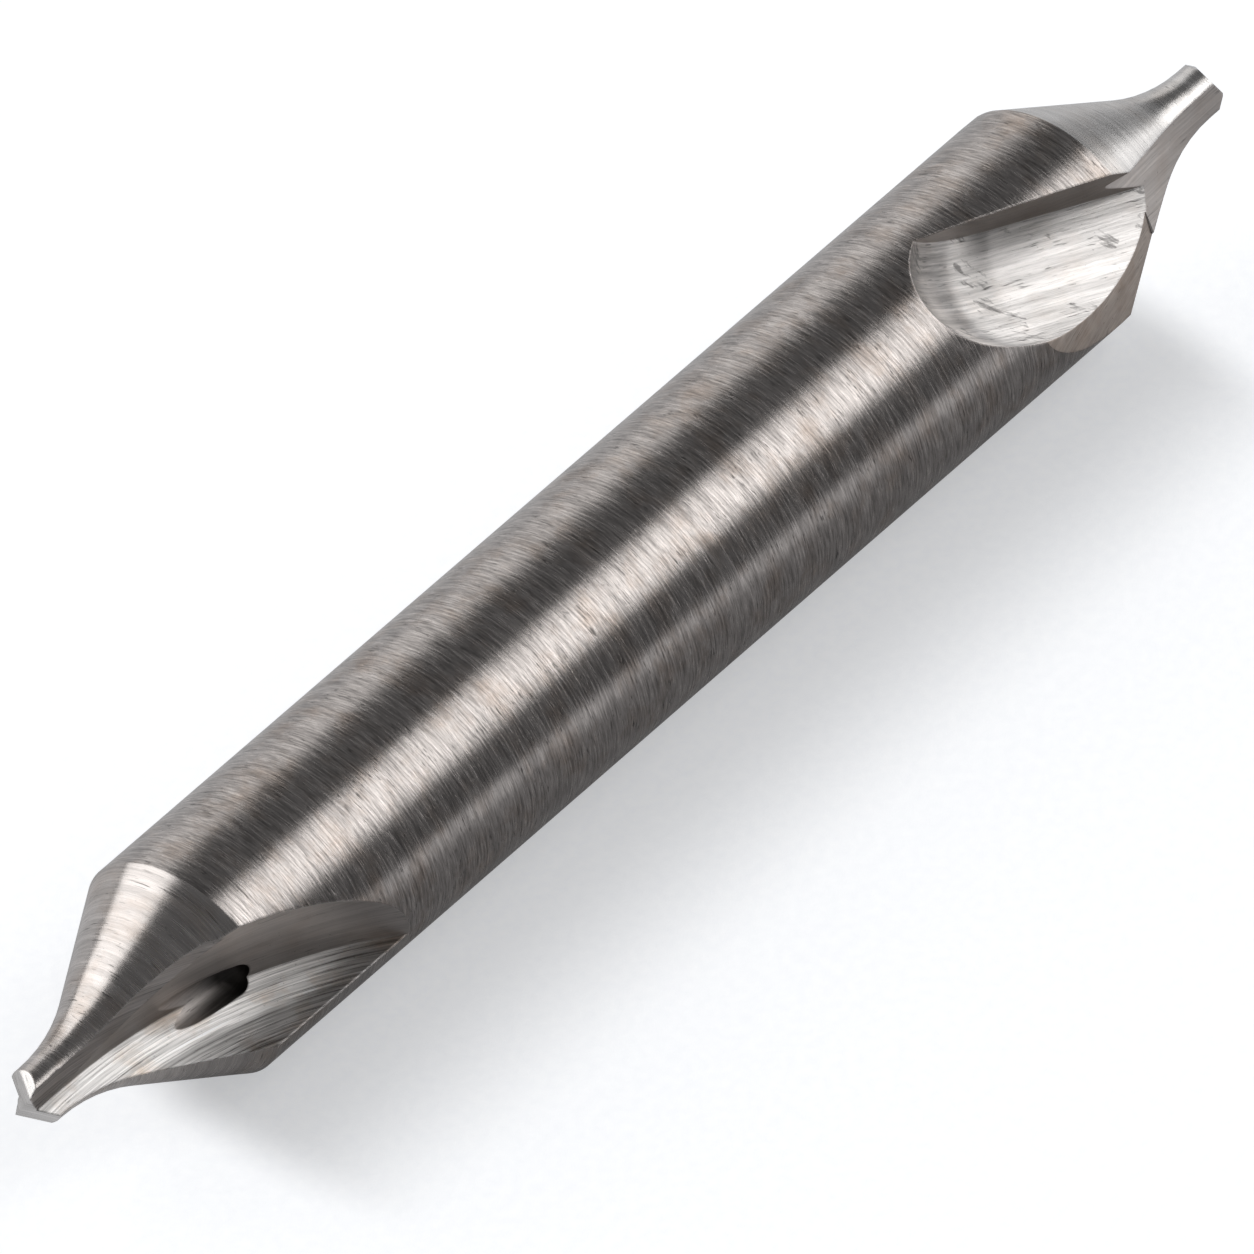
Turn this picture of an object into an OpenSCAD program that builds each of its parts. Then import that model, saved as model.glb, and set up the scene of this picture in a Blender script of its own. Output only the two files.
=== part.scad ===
// Double-ended centre drill: a ground cylinder with a pilot drill and a countersink at each end.
// The axis lies along X with the origin in the middle of the body, front nose towards -X.
// Each nose is drawn with its tip towards +X, the shoulder at x = 0, the cutting edge of its
// first tooth along +Y and the flute ahead of that edge on the +Z side.

/* [Body] */
// Diameter of the cylindrical body
body_d = 6.3; // [5.8:0.1:7]
// Length from point to point
overall_l = 45; // [40:0.5:60]

/* [Nose] */
// Diameter of the pilot drill
pilot_d = 1.6; // [1.4:0.05:2]
// Length of the pilot from its point to the sharp root of the countersink
pilot_l = 1.85; // [1.6:0.05:2.4]
// Included angle of the countersink
sink_angle = 60; // [56:1:66]
// Radius that runs the pilot into the countersink
root_r = 4.5; // [2:0.1:5]
// Sideways shift of each tooth's form, which drops its flank behind the cutting edge
tooth_relief = 0.08; // [0.04:0.01:0.14]

/* [Point] */
// Included angle of the drill point
point_angle = 118; // [110:1:135]
// Relief of the facet behind each lip
lip_relief = 10; // [8:1:20]
// Relief of the second facet behind each lip
heel_relief = 38; // [28:1:45]
// Width of the facet behind each lip
lip_w = 0.5; // [0.3:0.05:0.7]

/* [Nose flute] */
// Half thickness of the web between the two nose flutes
half_web = 0.22; // [0.16:0.01:0.3]
// Radius of the wheel that cuts the nose flute
nose_wheel_r = 9.3; // [8:0.1:12]
// Rounding of that wheel's corner, left in the bottom of the flute
nose_corner_r = 0.3; // [0.2:0.01:0.4]
// Width of that wheel's rim up to its bevelled far side
nose_rim_w = 2.6; // [2:0.05:2.8]
// Angle of the bevel
nose_bevel = 25; // [20:1:40]
// Fall of the flute's floor away from its wall at the front
front_fall = 15; // [10:1:18]
// Fall of the flute's floor away from its wall at the rear
rear_fall = 24; // [16:1:26]
// How far ahead of the shoulder the wheel stops
nose_stop = 5.3; // [4.5:0.1:5.6]

/* [Front pocket] */
// Radius of the ball-ended groove in the bottom of each front flute
pocket_r = 0.5; // [0.35:0.05:0.6]
// Height of the groove's centre line above the axis at the shoulder
pocket_y = 1.05; // [0.9:0.05:1.2]
// Distance of the groove's centre line ahead of the cutting edge at the shoulder
pocket_z = 0.3; // [0.2:0.02:0.4]
// Angle at which the groove leaves the flute's wall towards the point
pocket_turn = 8; // [6:1:12]
// How far behind the shoulder the ball end reaches
pocket_back = 0.55; // [0.2:0.05:1]

/* [Front flute] */
// Turn of the front nose about the axis
front_index = 190; // [0:1:359]
// Radius of the fluting wheel
front_wheel_r = 17.3; // [10:0.1:18]
// Radius of the crown on the wheel's rim
front_crown_r = 14; // [10:1:30]
// Distance from the wheel's flat side to the middle of its crown
front_crown_z = 0.5; // [0:0.1:1.5]
// Height of the flute's lowest line above the axis
front_floor = 0.28; // [0.2:0.01:0.4]
// How far ahead of the shoulder the wheel stops
front_stop = 4.7; // [3:0.05:6]
// Angle between the wheel's path and the axis
front_skew = 0; // [0:1:10]
// Lean of the flute's wall away from upright
front_lean = 0; // [0:1:10]

/* [Rear flute] */
// Turn of the rear nose about the axis
rear_index = 129; // [0:1:359]
// Turn of the flute against the cutting edge
rear_turn = 9; // [6:1:12]
// Radius of the fluting wheel
rear_wheel_r = 5; // [4.6:0.1:8]
// Radius of the crown on the wheel's rim
rear_crown_r = 2.3; // [2.2:0.05:3]
// Distance from the wheel's flat side to the middle of its crown
rear_crown_z = 1.2; // [1:0.05:1.5]
// Height of the flute's lowest line above the axis
rear_floor = 0.3; // [0.25:0.01:0.7]
// Where the wheel stops, measured ahead of the shoulder
rear_stop = -2.6; // [-4:0.05:-2]
// Angle between the wheel's path and the axis
rear_skew = 21; // [16:1:24]
// Lean of the flute's wall away from upright
rear_lean = 15; // [12:1:18]

/* [Rear heel] */
// Turn of the heel facet from the cutting edge
heel_turn = 30; // [20:1:45]
// Slope of the heel facet along the axis
heel_slope = 20; // [14:1:22]
// Height of the heel facet above the axis at the shoulder
heel_height = 1.65; // [1.4:0.05:1.9]
// How far ahead of the shoulder the heel facet ends
heel_end = 2; // [1.5:0.1:2.6]

/* [Hidden] */
$fn = 96;
body_r = body_d / 2;
pilot_r = pilot_d / 2;
form_r = pilot_r - tooth_relief;
sink_half = sink_angle / 2;
sink_l = (body_r - pilot_r) / tan(sink_half);
nose_l = sink_l + pilot_l;
shoulder_x = overall_l / 2 - nose_l;
root_tangent = root_r * tan(sink_half / 2);
past = 2 * body_d;
overlap = 1;
wide_r = body_r + overlap;
wheel_w = 1.35 * body_r;
seam_turn = -28;
rim_tuck = 0.01;
half_lap = 0.05;
steel = "#8d8883";

// Half outline of one nose: radius along X, distance ahead of the shoulder along Y.
// The countersink is carried past the body's radius, so that the body can trim it.
module nose_outline() {
    difference() {
        polygon([
            [0, -shoulder_x - overlap],
            [wide_r, -shoulder_x - overlap],
            [wide_r, (form_r - wide_r) / tan(sink_half) + sink_l],
            [form_r + root_tangent * sin(sink_half), sink_l - root_tangent * cos(sink_half)],
            [form_r, sink_l + root_tangent],
            [form_r, nose_l + overlap],
            [0, nose_l + overlap]
        ]);
        translate([form_r + root_r, sink_l + root_tangent]) circle(root_r);
    }
}

// One tooth: the half of the nose behind its cutting edge, turned about a shifted centre.
// It laps over the other half, so that the two join along the whole body.
module tooth() {
    intersection() {
        translate([0, tooth_relief, 0]) rotate([0, 90, 0]) rotate_extrude() nose_outline();
        translate([-shoulder_x - overlap, -past / 2, -past / 2])
            cube([shoulder_x + past, past, past / 2 + half_lap]);
    }
}

// Section of a fluting wheel: radius along X, distance from its flat side along Y.
module wheel_section(wheel_r, crown_r, crown_z) {
    intersection() {
        square([wheel_r, wheel_w]);
        union() {
            square([max(wheel_r - crown_r, body_r), wheel_w]);
            translate([wheel_r - crown_r, crown_z]) circle(crown_r);
        }
    }
}

// The main flute of one tooth.
module flute(wheel_r, crown_r, crown_z, floor_y, stop, skew, lean) {
    rotate([0, -skew, 0]) translate([0, floor_y, 0]) rotate([-lean, 0, 0])
        pass(stop, wheel_r, 0) wheel_section(wheel_r, crown_r, crown_z);
}

// Section of the wheel for the nose flute: a rounded corner, a rim that widens, a bevelled far side.
module nose_section(fall) {
    corner_x = nose_wheel_r - nose_corner_r;
    tucked_r = nose_corner_r - rim_tuck;
    rim_x = corner_x + tucked_r * cos(fall);
    rim_y = nose_corner_r - tucked_r * sin(fall);
    polygon([
        [0, 0],
        [corner_x, 0],
        [rim_x, rim_y],
        [rim_x + (nose_rim_w - rim_y) * tan(fall), nose_rim_w],
        [rim_x - (wheel_w - nose_rim_w) * tan(nose_bevel), wheel_w],
        [0, wheel_w]
    ]);
    translate([corner_x, nose_corner_r]) circle(nose_corner_r);
}

// The ball-ended groove that leaves a round pocket in the front flute.
module pocket() {
    translate([0, pocket_y, pocket_z]) rotate([0, -pocket_turn, 0]) translate([-pocket_back, 0, 0]) {
        sphere(pocket_r);
        rotate([0, 90, 0]) cylinder(past, pocket_r, pocket_r);
    }
}

// A wheel at the end of its path and the straight groove it leaves on the way there.
module pass(stop, centre_y, side_z) {
    translate([stop, centre_y, side_z]) {
        rotate_extrude() children();
        translate([past, 0, 0]) rotate([90, 0, -90]) linear_extrude(past) children();
    }
}

// Everything ahead of the two flats ground behind one lip, the first through the point.
module lip_flats() {
    translate([nose_l, 0, 0]) rotate([0, 0, 90 - point_angle / 2]) rotate([0, lip_relief, 0]) {
        translate([0, -past / 2, -past / 2]) cube(past);
        translate([0, 0, -lip_w]) rotate([0, heel_relief - lip_relief, 0])
            translate([0, -past / 2, -past / 2]) cube(past);
    }
}

// What is ground at every tooth: the two flats of its point and its nose flute.
module nose_cuts(fall) {
    lip_flats();
    pass(nose_stop, half_web + nose_wheel_r, 0) nose_section(fall);
}

module front_cuts() {
    nose_cuts(front_fall);
    pocket();
    flute(front_wheel_r, front_crown_r, front_crown_z, front_floor, front_stop, front_skew, front_lean);
}

module heel_flat() {
    rotate([heel_turn, 0, 0]) translate([0, heel_height, 0]) rotate([0, 0, -heel_slope])
        translate([-past, 0, 0]) cube([past + heel_end, past, past]);
}

module rear_cuts() {
    nose_cuts(rear_fall);
    rotate([rear_turn, 0, 0])
        flute(rear_wheel_r, rear_crown_r, rear_crown_z, rear_floor, rear_stop, rear_skew, rear_lean);
    heel_flat();
}

// Two equal halves of a nose, half a turn apart.
module both() {
    children();
    rotate([180, 0, 0]) children();
}

module centre_drill() {
    color(steel) difference() {
        intersection() {
            rotate([seam_turn, 0, 0]) translate([-overall_l / 2 - past, 0, 0]) rotate([0, 90, 0])
                cylinder(overall_l + 2 * past, body_r, body_r);
            union() {
                rotate([front_index, 0, 0]) rotate([0, 180, 0]) translate([shoulder_x, 0, 0]) both() tooth();
                rotate([rear_index, 0, 0]) translate([shoulder_x, 0, 0]) both() tooth();
            }
        }
        rotate([front_index, 0, 0]) rotate([0, 180, 0]) translate([shoulder_x, 0, 0]) both() front_cuts();
        rotate([rear_index, 0, 0]) translate([shoulder_x, 0, 0]) both() rear_cuts();
    }
}

centre_drill();
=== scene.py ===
"""Looks of the double-ended centre drill: ground steel with wheel marks, on a pale studio floor."""

import math

import bmesh
import bpy
import numpy as np
from mathutils import Matrix, Vector


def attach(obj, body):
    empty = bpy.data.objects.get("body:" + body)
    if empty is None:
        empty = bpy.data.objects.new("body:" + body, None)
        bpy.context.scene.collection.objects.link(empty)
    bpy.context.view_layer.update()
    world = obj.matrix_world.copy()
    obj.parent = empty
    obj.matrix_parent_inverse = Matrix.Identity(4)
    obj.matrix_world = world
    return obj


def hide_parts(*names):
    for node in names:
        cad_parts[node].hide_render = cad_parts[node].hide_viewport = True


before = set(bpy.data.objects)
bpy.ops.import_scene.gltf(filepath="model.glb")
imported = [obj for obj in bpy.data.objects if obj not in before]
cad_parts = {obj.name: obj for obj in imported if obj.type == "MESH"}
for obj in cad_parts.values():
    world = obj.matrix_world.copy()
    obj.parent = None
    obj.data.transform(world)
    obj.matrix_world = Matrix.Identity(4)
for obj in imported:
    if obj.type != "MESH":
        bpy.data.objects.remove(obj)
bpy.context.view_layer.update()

MM = 0.001
NODE = "centre_drill"
MARKS = "marks"

# Driving dimensions of the part, in millimetres and degrees
BODY_R = 3.15
PILOT_R = 0.8
PILOT_L = 1.85
SINK_HALF = math.radians(30)
ROOT_R = 4.5
TOOTH_RELIEF = 0.08
OVERALL_L = 45

FORM_R = PILOT_R - TOOTH_RELIEF
SINK_L = (BODY_R - PILOT_R) / math.tan(SINK_HALF)
NOSE_L = SINK_L + PILOT_L
SHOULDER_X = OVERALL_L / 2 - NOSE_L
ROOT_TANGENT = ROOT_R * math.tan(SINK_HALF / 2)
ARC_START = SINK_L - ROOT_TANGENT * math.cos(SINK_HALF)
ARC_END = SINK_L + ROOT_TANGENT

FRONT = {"name": "front", "index": 190, "turn": 0, "wheel_r": 17.3, "crown_r": 14, "crown_z": 0.5,
         "floor": 0.28, "stop": 4.7, "skew": 0, "lean": 0, "fall": 15,
         "hollow": (14, 13, -14), "sheen_r": 14}
REAR = {"name": "rear", "index": 129, "turn": 9, "wheel_r": 5, "crown_r": 2.3, "crown_z": 1.2,
        "floor": 0.3, "stop": -2.6, "skew": 21, "lean": 15, "fall": 24,
        "hollow": (0, 0, 0), "sheen_r": 8}
NOSE = {"wheel_r": 9.3, "corner_r": 0.3, "half_web": 0.22, "stop": 5.3}
POCKET = {"r": 0.5, "y": 1.05, "z": 0.3, "turn": 8, "back": 0.55}
HEEL = {"turn": 30, "slope": 20, "height": 1.65}

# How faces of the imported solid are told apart, in millimetres, cosines and, for the weld, metres
FAR = 9.0
SLACK = 0.02
SAME_PLANE = 0.996
POINT_L = 1.2
POINT_GAP = 0.001
POINT_FACING = 0.6
WELD = 1e-8
CREASE = math.radians(20)

# Heights above the axis at which a hollow wall's lean is given
HOLLOW_AT = (0.1 * BODY_R, 0.6 * BODY_R, BODY_R)


def turn(axis, degrees):
    return Matrix.Rotation(math.radians(degrees), 4, axis)


def shift(x, y, z):
    return Matrix.Translation((x, y, z))


def tooth_frame(end, half):
    """The frame of one tooth: tip towards +X, cutting edge along +Y, flute on the +Z side."""
    nose = turn("X", end["index"])
    if end is FRONT:
        nose = nose @ turn("Y", 180)
    return nose @ shift(SHOULDER_X, 0, 0) @ turn("X", 180 * half)


def wheel_frame(end, half):
    """The frame of the fluting wheel: centre at the origin, axis along Z, flat side at z = 0."""
    path = turn("X", end["turn"]) @ turn("Y", -end["skew"]) @ shift(0, end["floor"], 0)
    wheel = path @ turn("X", -end["lean"]) @ shift(end["stop"], end["wheel_r"], 0)
    return tooth_frame(end, half) @ wheel


def local(points, place):
    """Points given in the part's frame, in the frame of a tooth or a wheel."""
    inverse = np.array(place.inverted())
    return points @ inverse[:3, :3].T + inverse[:3, 3]


def turned(vectors, place):
    """Directions given in a tooth's or a wheel's frame, in the part's frame."""
    return vectors @ np.array(place)[:3, :3].T


def unit(vectors):
    return vectors / np.maximum(np.linalg.norm(vectors, axis=1, keepdims=True), 1e-9)


def columns(x, y, z):
    """Rows of three from arrays or single numbers."""
    return np.stack(np.broadcast_arrays(x, y, z), axis=1).astype(float)


class Surface:
    """One ground surface: how far a point is from it, which way it faces and how its marks run.

    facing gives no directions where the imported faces' own are kept. marks gives two lengths in
    millimetres, along the wheel's marks and across them.
    """

    def __init__(self, finish, place, end=None):
        self.finish = finish
        self.place = place
        self.end = end

    def at_end(self, points):
        if self.end is None:
            return np.ones(len(points), bool)
        return points[:, 0] < 0 if self.end is FRONT else points[:, 0] > 0

    def facing(self, points):
        return None


class Body(Surface):
    """The ground cylinder."""

    def distance(self, points, normals):
        return np.abs(np.hypot(points[:, 1], points[:, 2]) - BODY_R)

    def facing(self, points):
        return unit(columns(0, points[:, 1], points[:, 2]))

    def marks(self, points):
        return np.stack([np.arctan2(points[:, 1], points[:, 2]) * BODY_R, points[:, 0]], axis=1)


class Flank(Surface):
    """The tooth's cone, root arc and pilot, about a centre moved by the relief."""

    def parts(self, points):
        p = local(points, self.place)
        y = p[:, 1] - TOOTH_RELIEF
        return p[:, 0], y, p[:, 2], np.hypot(y, p[:, 2])

    def distance(self, points, normals):
        x, y, z, radius = self.parts(points)
        cone = FORM_R + (SINK_L - x) * math.tan(SINK_HALF)
        arc = FORM_R + ROOT_R - np.sqrt(np.maximum(ROOT_R**2 - (x - ARC_END) ** 2, 0))
        form = np.where(x > ARC_END, FORM_R, np.where(x > ARC_START, arc, cone))
        return np.where((z < 0) & (x > -1), np.abs(radius - form), FAR)

    def facing(self, points):
        x, y, z, radius = self.parts(points)
        lift = np.clip((ARC_END - x) / ROOT_R, 0, math.sin(SINK_HALF))
        flat = np.sqrt(1 - lift**2)
        return turned(unit(columns(lift, flat * y / radius, flat * z / radius)), self.place)

    def marks(self, points):
        x, y, z, radius = self.parts(points)
        return np.stack([np.arctan2(y, -z) * 2 * PILOT_R, x], axis=1)


class Wall(Surface):
    """The plane that the flat side of a wheel leaves; its marks are arcs about the wheel's centre.

    hollow is how far the ground face leans, in degrees, at the root, the middle and the edge.
    """

    def __init__(self, finish, place, end, hollow=(0, 0, 0)):
        super().__init__(finish, place, end)
        self.hollow = hollow

    def distance(self, points, normals):
        level = normals @ np.array(self.place)[:3, 2]
        return np.where(level > SAME_PLANE, np.abs(local(points, self.place)[:, 2]), FAR)

    def facing(self, points):
        height = np.hypot(points[:, 1], points[:, 2])
        lean = np.radians(np.interp(height, HOLLOW_AT, self.hollow))
        return turned(columns(0, np.sin(lean), np.cos(lean)), self.place)

    def marks(self, points):
        return local(points, self.place)[:, :2]


class Floor(Surface):
    """The hollow that the crowned rim of a wheel leaves, round to its stop and straight beyond it.

    The end's crown_r is the radius of the cut, and sheen_r the one that its shading follows.
    """

    def parts(self, points, crown_r):
        w = local(points, self.place)
        hub = self.end["wheel_r"] - crown_r
        reach = np.maximum(np.hypot(w[:, 0], w[:, 1]), 1e-6)
        centre = columns(np.where(w[:, 0] < 0, hub * w[:, 0] / reach, w[:, 0]),
                         np.where(w[:, 0] < 0, hub * w[:, 1] / reach, -hub), self.end["crown_z"])
        return w, centre

    def distance(self, points, normals):
        w, centre = self.parts(points, self.end["crown_r"])
        gap = np.abs(np.linalg.norm(w - centre, axis=1) - self.end["crown_r"])
        return np.where((w[:, 2] > -SLACK) & (w[:, 1] < 0), gap, FAR)

    def facing(self, points):
        w, centre = self.parts(points, self.end["sheen_r"])
        return turned(unit(centre - w), self.place)

    def marks(self, points):
        w = local(points, self.place)
        round_rim = np.arctan2(w[:, 0], -w[:, 1]) * self.end["wheel_r"]
        lean = np.clip((w[:, 2] - self.end["crown_z"]) / self.end["crown_r"], -1, 1)
        along = np.where(w[:, 0] < 0, round_rim, w[:, 0])
        return np.stack([along, self.end["crown_r"] * np.arcsin(lean)], axis=1)


class Groove(Surface):
    """The ball-ended groove behind the pilot."""

    def inward(self, points):
        g = local(points, self.place)
        return columns(np.minimum(g[:, 0], 0), g[:, 1], g[:, 2])

    def distance(self, points, normals):
        return np.abs(np.linalg.norm(self.inward(points), axis=1) - POCKET["r"])

    def facing(self, points):
        return turned(-unit(self.inward(points)), self.place)

    def marks(self, points):
        g = local(points, self.place)
        return np.stack([g[:, 0], np.arctan2(g[:, 2], -g[:, 1]) * POCKET["r"]], axis=1)


class NoseFloor(Surface):
    """The hollow that the rounded corner and the tapered rim of the nose wheel leave."""

    def __init__(self, finish, place, end, fall):
        super().__init__(finish, place, end)
        self.fall = math.radians(fall)

    def parts(self, points):
        w = local(points, self.place)
        straight = w[:, 0] > 0
        radius = np.where(straight, -w[:, 1], np.hypot(w[:, 0], w[:, 1]))
        outward = unit(columns(np.where(straight, 0, w[:, 0]), np.where(straight, -1, w[:, 1]), 0))
        corner = NOSE["corner_r"]
        from_corner = np.stack([radius - (NOSE["wheel_r"] - corner), w[:, 2] - corner], axis=1)
        along_rim = from_corner[:, 0] * math.sin(self.fall) + from_corner[:, 1] * math.cos(self.fall)
        off_rim = from_corner[:, 0] * math.cos(self.fall) - from_corner[:, 1] * math.sin(self.fall)
        return w, outward, from_corner, along_rim > 0, off_rim

    def distance(self, points, normals):
        w, outward, from_corner, on_rim, off_rim = self.parts(points)
        level = np.where(on_rim, off_rim, np.linalg.norm(from_corner, axis=1))
        return np.where((w[:, 1] < 0) & (w[:, 2] > -SLACK), np.abs(level - NOSE["corner_r"]), FAR)

    def facing(self, points):
        w, outward, from_corner, on_rim, off_rim = self.parts(points)
        around = unit(from_corner)
        away = np.where(on_rim, math.cos(self.fall), around[:, 0])
        aside = np.where(on_rim, -math.sin(self.fall), around[:, 1])
        return turned(-unit(outward * away[:, None] + columns(0, 0, aside)), self.place)

    def marks(self, points):
        w = local(points, self.place)
        round_rim = np.arctan2(w[:, 0], -w[:, 1]) * NOSE["wheel_r"]
        return np.stack([np.where(w[:, 0] < 0, round_rim, w[:, 0]), w[:, 2]], axis=1)


class Lip(Surface):
    """A facet of the point."""

    def distance(self, points, normals):
        ahead = normals @ np.array(self.place)[:3, 0] > POINT_FACING
        at_point = local(points, self.place)[:, 0] > NOSE_L - POINT_L
        return np.where(ahead & at_point, POINT_GAP, FAR)

    def marks(self, points):
        p = local(points, self.place)
        return np.stack([p[:, 1], p[:, 2]], axis=1)


def surfaces():
    """Every ground surface of the drill."""
    made = [Body("body", Matrix.Identity(4))]
    for end in (FRONT, REAR):
        for half in (0, 1):
            tooth = tooth_frame(end, half)
            made.append(Flank(end["name"] + "_flank", tooth, end))
            made.append(Wall(end["name"] + "_wall", wheel_frame(end, half), end, end["hollow"]))
            made.append(Floor(end["name"] + "_floor", wheel_frame(end, half), end))
            nose_wheel = tooth @ shift(NOSE["stop"], NOSE["half_web"] + NOSE["wheel_r"], 0)
            made.append(NoseFloor(end["name"] + "_nose", nose_wheel, end, end["fall"]))
            made.append(Lip("lip", tooth, end))
            if end is FRONT:
                groove = shift(0, POCKET["y"], POCKET["z"]) @ turn("Y", -POCKET["turn"])
                made.append(Groove("pocket", tooth @ groove @ shift(-POCKET["back"], 0, 0), end))
            else:
                made.append(Wall("rear_face", nose_wheel, end))
                heel = turn("X", HEEL["turn"]) @ shift(0, HEEL["height"], 0) @ turn("Z", -HEEL["slope"])
                made.append(Wall("heel", tooth @ heel @ turn("X", -90), end))
    return made


def unwrapped(marks, at_face):
    """Marks of a face's corners, moved to the same side of the body's seam as the face's middle."""
    round_body = 2 * math.pi * BODY_R
    marks[:, 0] -= round_body * np.round((marks[:, 0] - at_face[:, 0]) / round_body)
    return marks


def drill_mesh(ground):
    """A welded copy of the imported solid, with a slot, shading normals and mark lengths for each surface."""
    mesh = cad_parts[NODE].data.copy()
    mesh.name = "drill"
    mesh.materials.clear()
    bm = bmesh.new()
    bm.from_mesh(mesh)
    bmesh.ops.remove_doubles(bm, verts=bm.verts, dist=WELD)
    bmesh.ops.dissolve_degenerate(bm, edges=bm.edges, dist=WELD)
    bm.normal_update()
    points = np.array([f.calc_center_median() for f in bm.faces]) / MM
    normals = np.array([f.normal for f in bm.faces])
    gaps = [np.where(s.at_end(points), s.distance(points, normals), FAR) for s in ground]
    nearest = np.argmin(np.stack(gaps), axis=0)
    slots = list(dict.fromkeys(s.finish for s in ground))
    for face, surface in zip(bm.faces, nearest):
        face.material_index = slots.index(ground[surface].finish)
        face.smooth = True
    for edge in bm.edges:
        sides = [nearest[f.index] for f in edge.link_faces]
        edge.smooth = len(set(sides)) == 1 and edge.calc_face_angle(0) < CREASE
    bm.to_mesh(mesh)
    bm.free()

    corners = np.array([mesh.vertices[loop.vertex_index].co for loop in mesh.loops]) / MM
    owner = np.repeat(np.arange(len(mesh.polygons)), [p.loop_total for p in mesh.polygons])
    directions = np.array([c.vector for c in mesh.corner_normals])
    lengths = np.zeros((len(corners), 2))
    for index, surface in enumerate(ground):
        own = nearest[owner] == index
        if not own.any():
            continue
        lengths[own] = unwrapped(surface.marks(corners[own]), surface.marks(points[owner[own]]))
        facing = surface.facing(corners[own])
        if facing is not None:
            directions[own] = facing
    layer = mesh.uv_layers.new(name=MARKS)
    layer.data.foreach_set("uv", lengths.ravel())
    mesh.normals_split_custom_set(directions)
    return mesh, slots


class Shader:
    """Short forms for building one material's nodes."""

    def __init__(self, name):
        self.material = bpy.data.materials.new(name)
        self.material.use_nodes = True
        self.tree = self.material.node_tree
        self.principled = self.tree.nodes["Principled BSDF"]

    def node(self, kind, **settings):
        made = self.tree.nodes.new("ShaderNode" + kind)
        for key, value in settings.items():
            setattr(made, key, value)
        return made

    def link(self, source, target):
        self.tree.links.new(source, target)

    def fill(self, sockets, values):
        for socket, value in zip(sockets, values):
            if isinstance(value, (int, float)):
                socket.default_value = value
            elif isinstance(value, tuple):
                socket.default_value = (*value, 1.0)
            else:
                self.link(value, socket)

    def math(self, operation, a, b=0.0):
        made = self.node("Math", operation=operation)
        self.fill(made.inputs, (a, b))
        return made.outputs[0]

    def vector(self, x, y, z):
        made = self.node("CombineXYZ")
        self.fill(made.inputs, (x, y, z))
        return made.outputs[0]

    def split(self, vector):
        made = self.node("SeparateXYZ")
        self.link(vector, made.inputs["Vector"])
        return made.outputs

    def scaled(self, vector, factor):
        made = self.node("VectorMath", operation="SCALE")
        self.link(vector, made.inputs[0])
        self.link(factor, made.inputs["Scale"])
        return made.outputs[0]

    def vectors(self, operation, a, b):
        made = self.node("VectorMath", operation=operation)
        self.link(a, made.inputs[0])
        self.link(b, made.inputs[1])
        return made.outputs[0]

    def noise(self, vector, detail=2.0, roughness=0.5):
        made = self.node("TexNoise")
        made.inputs["Scale"].default_value = 1.0
        made.inputs["Detail"].default_value = detail
        made.inputs["Roughness"].default_value = roughness
        self.link(vector, made.inputs["Vector"])
        return made.outputs["Fac"]

    def streaks(self, along, across, length, pitch, seed, detail=2.0, roughness=0.5):
        """Noise drawn out along the marks: one blot is about length by pitch millimetres."""
        u = self.math("MULTIPLY", along, 1 / length)
        v = self.math("MULTIPLY", across, 1 / pitch)
        place = self.vector(u, v, seed)
        return self.noise(place, detail, roughness)

    def ramp(self, value, low, high, to_low=0.0, to_high=1.0, easing="LINEAR"):
        made = self.node("MapRange", interpolation_type=easing)
        made.inputs["From Min"].default_value = low
        made.inputs["From Max"].default_value = high
        made.inputs["To Min"].default_value = to_low
        made.inputs["To Max"].default_value = to_high
        self.link(value, made.inputs["Value"])
        return made.outputs["Result"]

    def mix(self, factor, a, b, blend="MIX"):
        made = self.node("Mix", data_type="RGBA", blend_type=blend)
        self.fill((made.inputs["Factor"], made.inputs[6], made.inputs[7]), (factor, a, b))
        return made.outputs[2]


def mark_lengths(s, wheel_r):
    """Lengths along and across the marks, and the direction along them.

    wheel_r is the radius of the wheel whose flat side left arcs about the origin of the marks, or
    0 where the marks are straight.
    """
    layer = s.node("UVMap", uv_map=MARKS)
    u, v = s.split(layer.outputs["UV"])[:2]
    tangent = s.node("Tangent", direction_type="UV_MAP", uv_map=MARKS).outputs["Tangent"]
    if not wheel_r:
        return u, v, tangent
    radius = s.math("SQRT", s.math("ADD", s.math("MULTIPLY", u, u), s.math("MULTIPLY", v, v)))
    along = s.math("MULTIPLY", s.math("ARCTAN2", u, s.math("MULTIPLY", v, -1.0)), wheel_r)
    upward = s.vectors("CROSS_PRODUCT", s.node("NewGeometry").outputs["Normal"], tangent)
    turned_u = s.scaled(tangent, s.math("MULTIPLY", v, -1.0))
    arc = s.vectors("ADD", turned_u, s.scaled(upward, u))
    straight = s.node("VectorMath", operation="NORMALIZE")
    s.link(arc, straight.inputs[0])
    return along, radius, straight.outputs[0]


BROWNING = (0.72, 0.60, 0.50)
# Near black of a painted shade, for the shade inside a recess such as the pocket
PAINTED_SHADE = (0.02, 0.017, 0.015)
EDGE_R = 0.08
MARK_DEPTH = 0.01
ALONG_MARKS = 0.25


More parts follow.
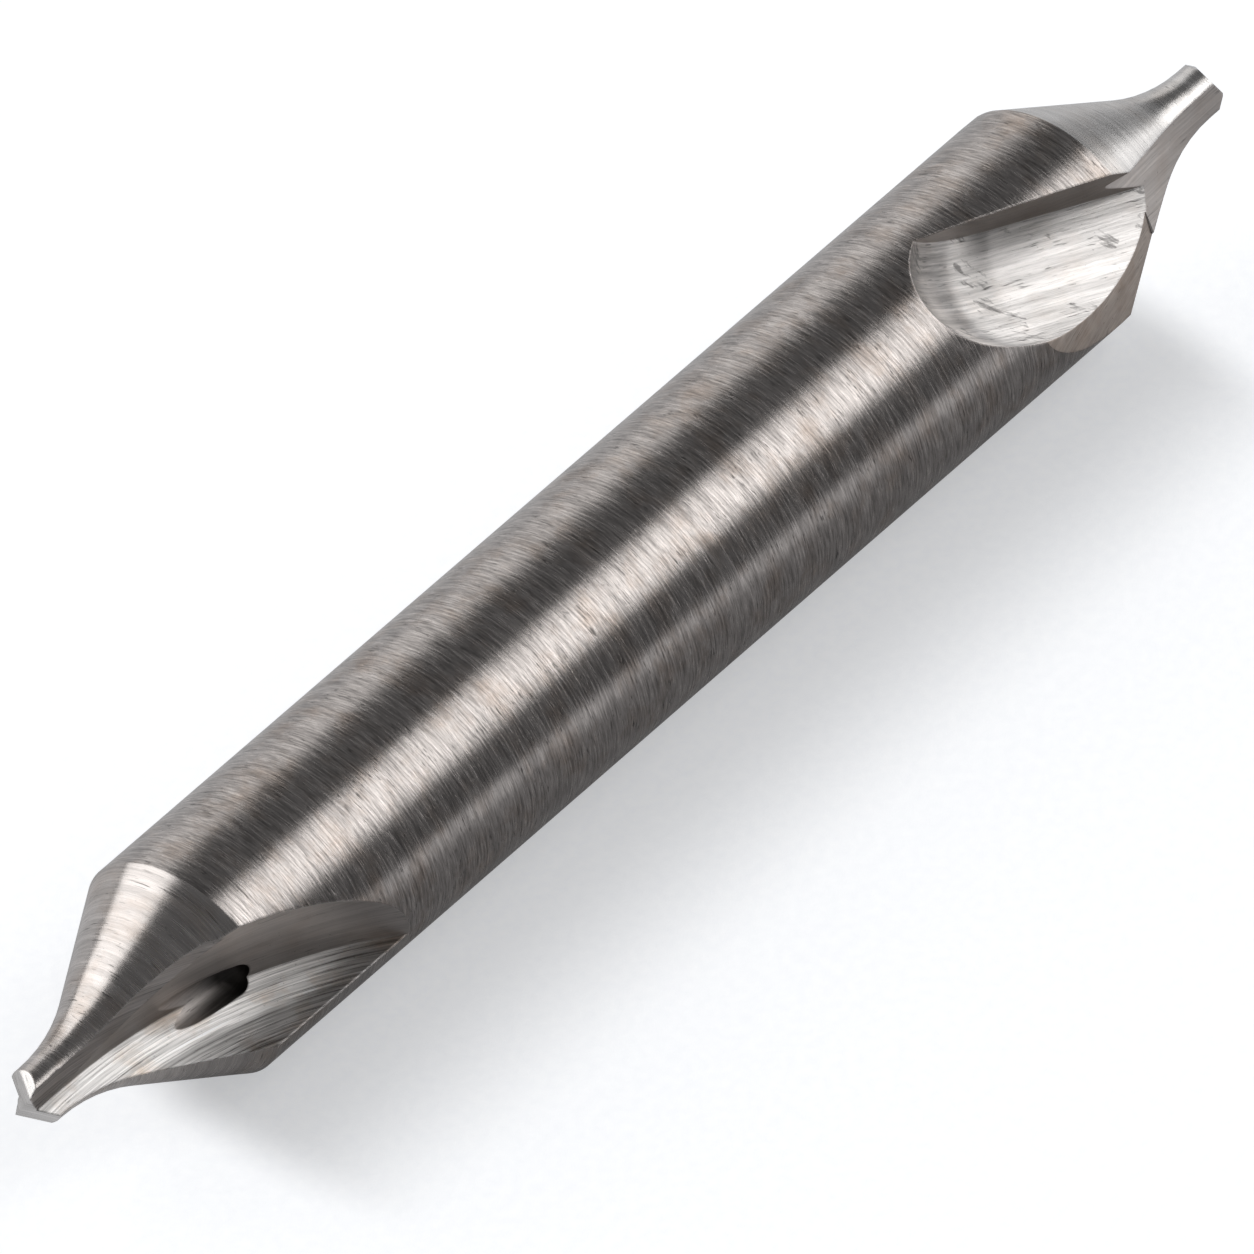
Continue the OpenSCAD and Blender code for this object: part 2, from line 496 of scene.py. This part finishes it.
def ground_steel(name, tint, rough, wheel_r=0.0, pitch=0.06, length=2.0, streak=0.2, wave=0.03, blotch=0.15,
                 scratch=0.4, stain=0.3, pit=0.4, smudge=0.0, anisotropy=0.6, relief=0.4, painted_shade_span=None):
    """Ground steel: fine lines of one wheel, broader bands, scratches, brown stains and pits.

    pitch and length are the size of a line, wave how far it wanders, streak and blotch the strength
    of lines and bands. smudge is the strength of dark rubbed blots. The last argument is a pair of positions
    along the marks between which a painted shade, standing for the shade inside a recess, goes from near
    black to none.
    """
    s = Shader(name)
    along, across, tangent = mark_lengths(s, wheel_r)
    wander = s.streaks(along, across, 0.9, 0.5, 1.0)
    wavy = s.math("ADD", across, s.math("MULTIPLY", s.math("SUBTRACT", wander, 0.5), 2 * wave))
    fine = s.streaks(along, wavy, length, pitch, 3.0, 3.0, 0.7)
    bands = s.streaks(along, wavy, 3 * length, 5 * pitch, 5.0, 3.0, 0.6)
    cuts = s.streaks(along, wavy, 0.45 * length, 0.8 * pitch, 7.0, 1.0)
    sparse = s.streaks(along, across, 0.8, 0.6, 11.0, 2.0, 0.6)
    patches = s.streaks(along, across, 1.5, 1.2, 13.0, 5.0, 0.65)
    specks = s.streaks(along, across, 0.1, 0.08, 17.0, 2.0)

    lined = s.math("MULTIPLY", s.ramp(fine, 0.3, 0.7, 1.0 - streak, 1.0 + 0.6 * streak),
                   s.ramp(bands, 0.3, 0.7, 1.0 - blotch, 1.0 + 0.6 * blotch))
    few = s.math("MULTIPLY", s.ramp(cuts, 0.6, 0.68), s.ramp(sparse, 0.5, 0.62))
    scored = s.math("MULTIPLY", lined, s.ramp(few, 0.0, 1.0, 1.0, 1.0 - scratch))
    pitted = s.math("MULTIPLY", scored, s.ramp(specks, 0.68, 0.76, 1.0, 1.0 - pit))
    if smudge:
        slant = s.math("ADD", s.math("MULTIPLY", along, 0.8), s.math("MULTIPLY", across, 0.6))
        slope = s.math("SUBTRACT", s.math("MULTIPLY", across, 0.8), s.math("MULTIPLY", along, 0.6))
        rubbed = s.ramp(s.streaks(along, across, 1.5, 1.0, 23.0, 1.0, 0.5), 0.5, 0.6)
        blots = s.math("MULTIPLY", s.streaks(slant, slope, 0.6, 0.16, 19.0, 4.0, 0.65), rubbed)
        pitted = s.math("MULTIPLY", pitted, s.ramp(blots, 0.5, 0.62, 1.0, 1.0 - smudge))
    brown = tuple(c * k for c, k in zip(tint, BROWNING))
    colour = s.mix(s.ramp(patches, 0.48, 0.72, 0.0, stain), tint, brown)
    colour = s.mix(1.0, colour, s.vector(pitted, pitted, pitted), "MULTIPLY")
    # Painted shade: near black at one end of the span along the marks, fading to none
    if painted_shade_span:
        colour = s.mix(s.ramp(along, painted_shade_span[0], painted_shade_span[1], 0.85, 0.0), colour, PAINTED_SHADE)
    bsdf = s.principled
    bsdf.inputs["Metallic"].default_value = 1.0
    bsdf.inputs["Anisotropic"].default_value = anisotropy
    bsdf.inputs["Anisotropic Rotation"].default_value = ALONG_MARKS
    s.link(colour, bsdf.inputs["Base Color"])
    s.link(s.ramp(fine, 0.3, 0.7, rough * 0.85, rough * 1.2), bsdf.inputs["Roughness"])
    s.link(tangent, bsdf.inputs["Tangent"])

    edge = s.node("Bevel", samples=4)
    edge.inputs["Radius"].default_value = EDGE_R * MM
    bump = s.node("Bump")
    bump.inputs["Strength"].default_value = relief
    bump.inputs["Distance"].default_value = MARK_DEPTH * MM
    s.link(s.math("SUBTRACT", fine, s.math("MULTIPLY", few, 0.6)), bump.inputs["Height"])
    s.link(edge.outputs["Normal"], bump.inputs["Normal"])
    s.link(bump.outputs["Normal"], bsdf.inputs["Normal"])
    return s.material


# Tints of one and the same steel, from lightest to darkest: each face gets a lighter or darker one so that it
# reads brighter or darker, painted light and shade for how light falls on it
PALE = (0.80, 0.775, 0.755)
FAIR = (0.73, 0.702, 0.682)
MID_TINT = (0.66, 0.615, 0.587)
WARM = (0.58, 0.535, 0.508)
DARK_SHADED_TINT = (0.45, 0.39, 0.35)

# The tint of each finish makes its face lighter or darker: painted light and shade
finish = {
    "body": ground_steel("body", WARM, 0.24, pitch=0.06, length=0.8, streak=0.6, blotch=0.2, scratch=0.6,
                         stain=0.65, relief=0.6),
    "front_flank": ground_steel("front_flank", MID_TINT, 0.25, pitch=0.05, length=1.2, streak=0.25, blotch=0.2,
                                scratch=0.6, stain=0.5),
    "rear_flank": ground_steel("rear_flank", PALE, 0.26, pitch=0.05, length=1.2, streak=0.14, stain=0.3),
    "front_wall": ground_steel("front_wall", PALE, 0.3, FRONT["wheel_r"], 0.06, 3.0, 0.65, 0.02, 0.45,
                               stain=0.8, anisotropy=0.75),
    "front_floor": ground_steel("front_floor", WARM, 0.34, length=3.0, streak=0.16, blotch=0.12, stain=0.25),
    "front_nose": ground_steel("front_nose", WARM, 0.34, length=3.0, streak=0.4, blotch=0.3, stain=0.25),
    # The pocket's near-black end is painted shade inside the groove
    "pocket": ground_steel("pocket", WARM, 0.4, length=1.0, streak=0.25, painted_shade_span=(-0.2, 1.3)),
    "rear_wall": ground_steel("rear_wall", DARK_SHADED_TINT, 0.34, REAR["wheel_r"], 0.05, 1.5, 0.35, stain=0.4),
    "rear_floor": ground_steel("rear_floor", FAIR, 0.31, pitch=0.07, length=1.8, streak=0.45, blotch=0.3,
                               scratch=0.6, stain=0.25, smudge=0.6, anisotropy=0.75),
    "rear_nose": ground_steel("rear_nose", WARM, 0.34, length=3.0, streak=0.2),
    "rear_face": ground_steel("rear_face", WARM, 0.34, NOSE["wheel_r"], 0.05, 2.0, 0.2),
    # The heel's darkest tint is painted shade
    "heel": ground_steel("heel", DARK_SHADED_TINT, 0.4, pitch=0.05, length=1.0, streak=0.25, stain=0.6),
    # The lips' lightest tint is a painted highlight
    "lip": ground_steel("lip", PALE, 0.22, pitch=0.05, length=1.0, streak=0.2, stain=0.1),
}

mesh, slots = drill_mesh(surfaces())
for name in slots:
    mesh.materials.append(finish[name])
drill = bpy.data.objects.new("drill", mesh)
bpy.context.scene.collection.objects.link(drill)
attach(drill, "root")
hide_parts(NODE)


GRAIN_SIZE = 0.3
GRAIN_DEPTH = 0.02


def pale_floor(glow, under, mirrored):
    """A wide plane under the drill with the faint grain of painted board.

    glow is what it gives off to the camera, which makes it read as white paper without more light on
    the drill. The glow fades beneath the drill and on its shadow side, a painted shadow; under is the
    share of it that is left beneath the drill. mirrored is the share that reflections show at a distance
    from the drill, and nearer the drill reflections of the floor are darker, a painted shade.
    """
    side = 3.0
    plane = bpy.data.meshes.new("floor")
    corners = [(-side, -side), (side, -side), (side, side), (-side, side)]
    plane.from_pydata([(x, y, -BODY_R * MM) for x, y in corners], [], [(0, 1, 2, 3)])
    s = Shader("floor")
    spot = s.node("VectorMath", operation="SCALE")
    spot.inputs["Scale"].default_value = 1 / MM
    s.link(s.node("TexCoord").outputs["Object"], spot.inputs[0])
    x, y = s.split(spot.outputs[0])[:2]
    grain = s.streaks(x, y, GRAIN_SIZE, GRAIN_SIZE, 0.0, 3.0, 0.5)
    speckle = s.ramp(grain, 0.3, 0.7)
    bsdf = s.principled
    s.link(s.mix(speckle, (0.53, 0.533, 0.545), (0.55, 0.553, 0.565)), bsdf.inputs["Base Color"])
    s.link(s.mix(speckle, (0.94, 0.955, 0.98), (0.975, 0.985, 1.0)), bsdf.inputs["Emission Color"])
    bsdf.inputs["Roughness"].default_value = 0.75
    bsdf.inputs["Specular IOR Level"].default_value = 0.2

    past_end = s.math("MAXIMUM", s.math("SUBTRACT", s.math("ABSOLUTE", x), SHOULDER_X), 0.0)
    ahead = s.math("POWER", s.math("MULTIPLY", past_end, 3.0), 2.0)

    # share gives a painted shadow: where it is small, the floor's glow is cut back near the drill
    def share(shade_y, near, far, least, most):
        """A share that grows with the distance from a line beside the drill, fast past its shoulders."""
        aside = s.math("POWER", s.math("ABSOLUTE", s.math("ADD", y, shade_y)), 2.0)
        away = s.math("SQRT", s.math("ADD", ahead, aside))
        return s.ramp(away, near, far, least, most, "SMOOTHSTEP")

    path = s.node("LightPath")
    direct = s.math("ADD", path.outputs["Is Camera Ray"], path.outputs["Is Transmission Ray"])
    # Painted shadow on the floor as seen: the glow drops to under beneath the drill and on its shadow side
    direct = s.math("MULTIPLY", direct, share(shade_y=2.0, near=1.0, far=6.5, least=under, most=1.0))
    # Painted shade in reflections: the floor's glow is dark near the drill and reaches mirrored further off
    in_sheen = share(shade_y=8.0, near=4.0, far=16.0, least=0.0, most=mirrored)
    glossy = s.math("MULTIPLY", path.outputs["Is Glossy Ray"], in_sheen)
    s.link(s.math("MULTIPLY", s.math("ADD", direct, glossy), glow), bsdf.inputs["Emission Strength"])
    bump = s.node("Bump")
    bump.inputs["Strength"].default_value = 0.4
    bump.inputs["Distance"].default_value = GRAIN_DEPTH * MM
    s.link(grain, bump.inputs["Height"])
    s.link(bump.outputs["Normal"], bsdf.inputs["Normal"])
    plane.materials.append(s.material)
    made = bpy.data.objects.new("floor", plane)
    bpy.context.scene.collection.objects.link(made)


def softbox(name, direction, distance, size, radiance):
    """An area lamp that faces the drill, with its height and width; radiance is how bright it looks."""
    lamp = bpy.data.lights.new(name, "AREA")
    lamp.shape = "RECTANGLE"
    lamp.size, lamp.size_y = size
    lamp.energy = radiance * math.pi * size[0] * size[1]
    made = bpy.data.objects.new(name, lamp)
    bpy.context.scene.collection.objects.link(made)
    towards = Vector(direction).normalized()
    made.location = towards * distance
    made.rotation_mode = "QUATERNION"
    made.rotation_quaternion = towards.to_track_quat("Z", "X")


def studio_world(colour, strength):
    world = bpy.data.worlds.new("studio")
    bpy.context.scene.world = world
    world.use_nodes = True
    background = world.node_tree.nodes["Background"]
    background.inputs["Color"].default_value = (*colour, 1.0)
    background.inputs["Strength"].default_value = strength


def photo_camera():
    """The photograph's view: a long lens from the front left, well above the floor."""
    azimuth, elevation = math.radians(-49.26), math.radians(48.25)
    frame_width = 31.03 * MM
    distance = 0.743
    centre_right, centre_up = 0.037 * MM, -1.007 * MM
    back = Vector((math.sin(azimuth) * math.cos(elevation), -math.cos(azimuth) * math.cos(elevation),
                   math.sin(elevation)))
    right = Vector((math.cos(azimuth), math.sin(azimuth), 0))
    up = back.cross(right)
    data = bpy.data.cameras.new("camera")
    data.sensor_width = 36
    data.lens = data.sensor_width * distance / frame_width
    data.clip_start, data.clip_end = 0.05, 20
    made = bpy.data.objects.new("camera", data)
    bpy.context.scene.collection.objects.link(made)
    made.location = right * centre_right + up * centre_up + back * distance
    made.rotation_mode = "QUATERNION"
    made.rotation_quaternion = back.to_track_quat("Z", "Y")
    bpy.context.scene.camera = made


pale_floor(0.8, 0.57, 0.36)
softbox("key", (-0.28, 0.84, 0.46), 1.2, (1.0, 1.0), 1.6)
softbox("strip", (0.5, -0.38, 0.78), 1.2, (0.92, 0.6), 1.5)
softbox("side", (0.90, -0.25, 0.32), 1.2, (0.95, 0.8), 1.5)
softbox("fill", (0.55, 0.77, 0.28), 1.5, (0.85, 1.1), 0.68)
studio_world((0.95, 0.97, 1.0), 0.12)
photo_camera()
bpy.context.scene.view_settings.view_transform = "Standard"
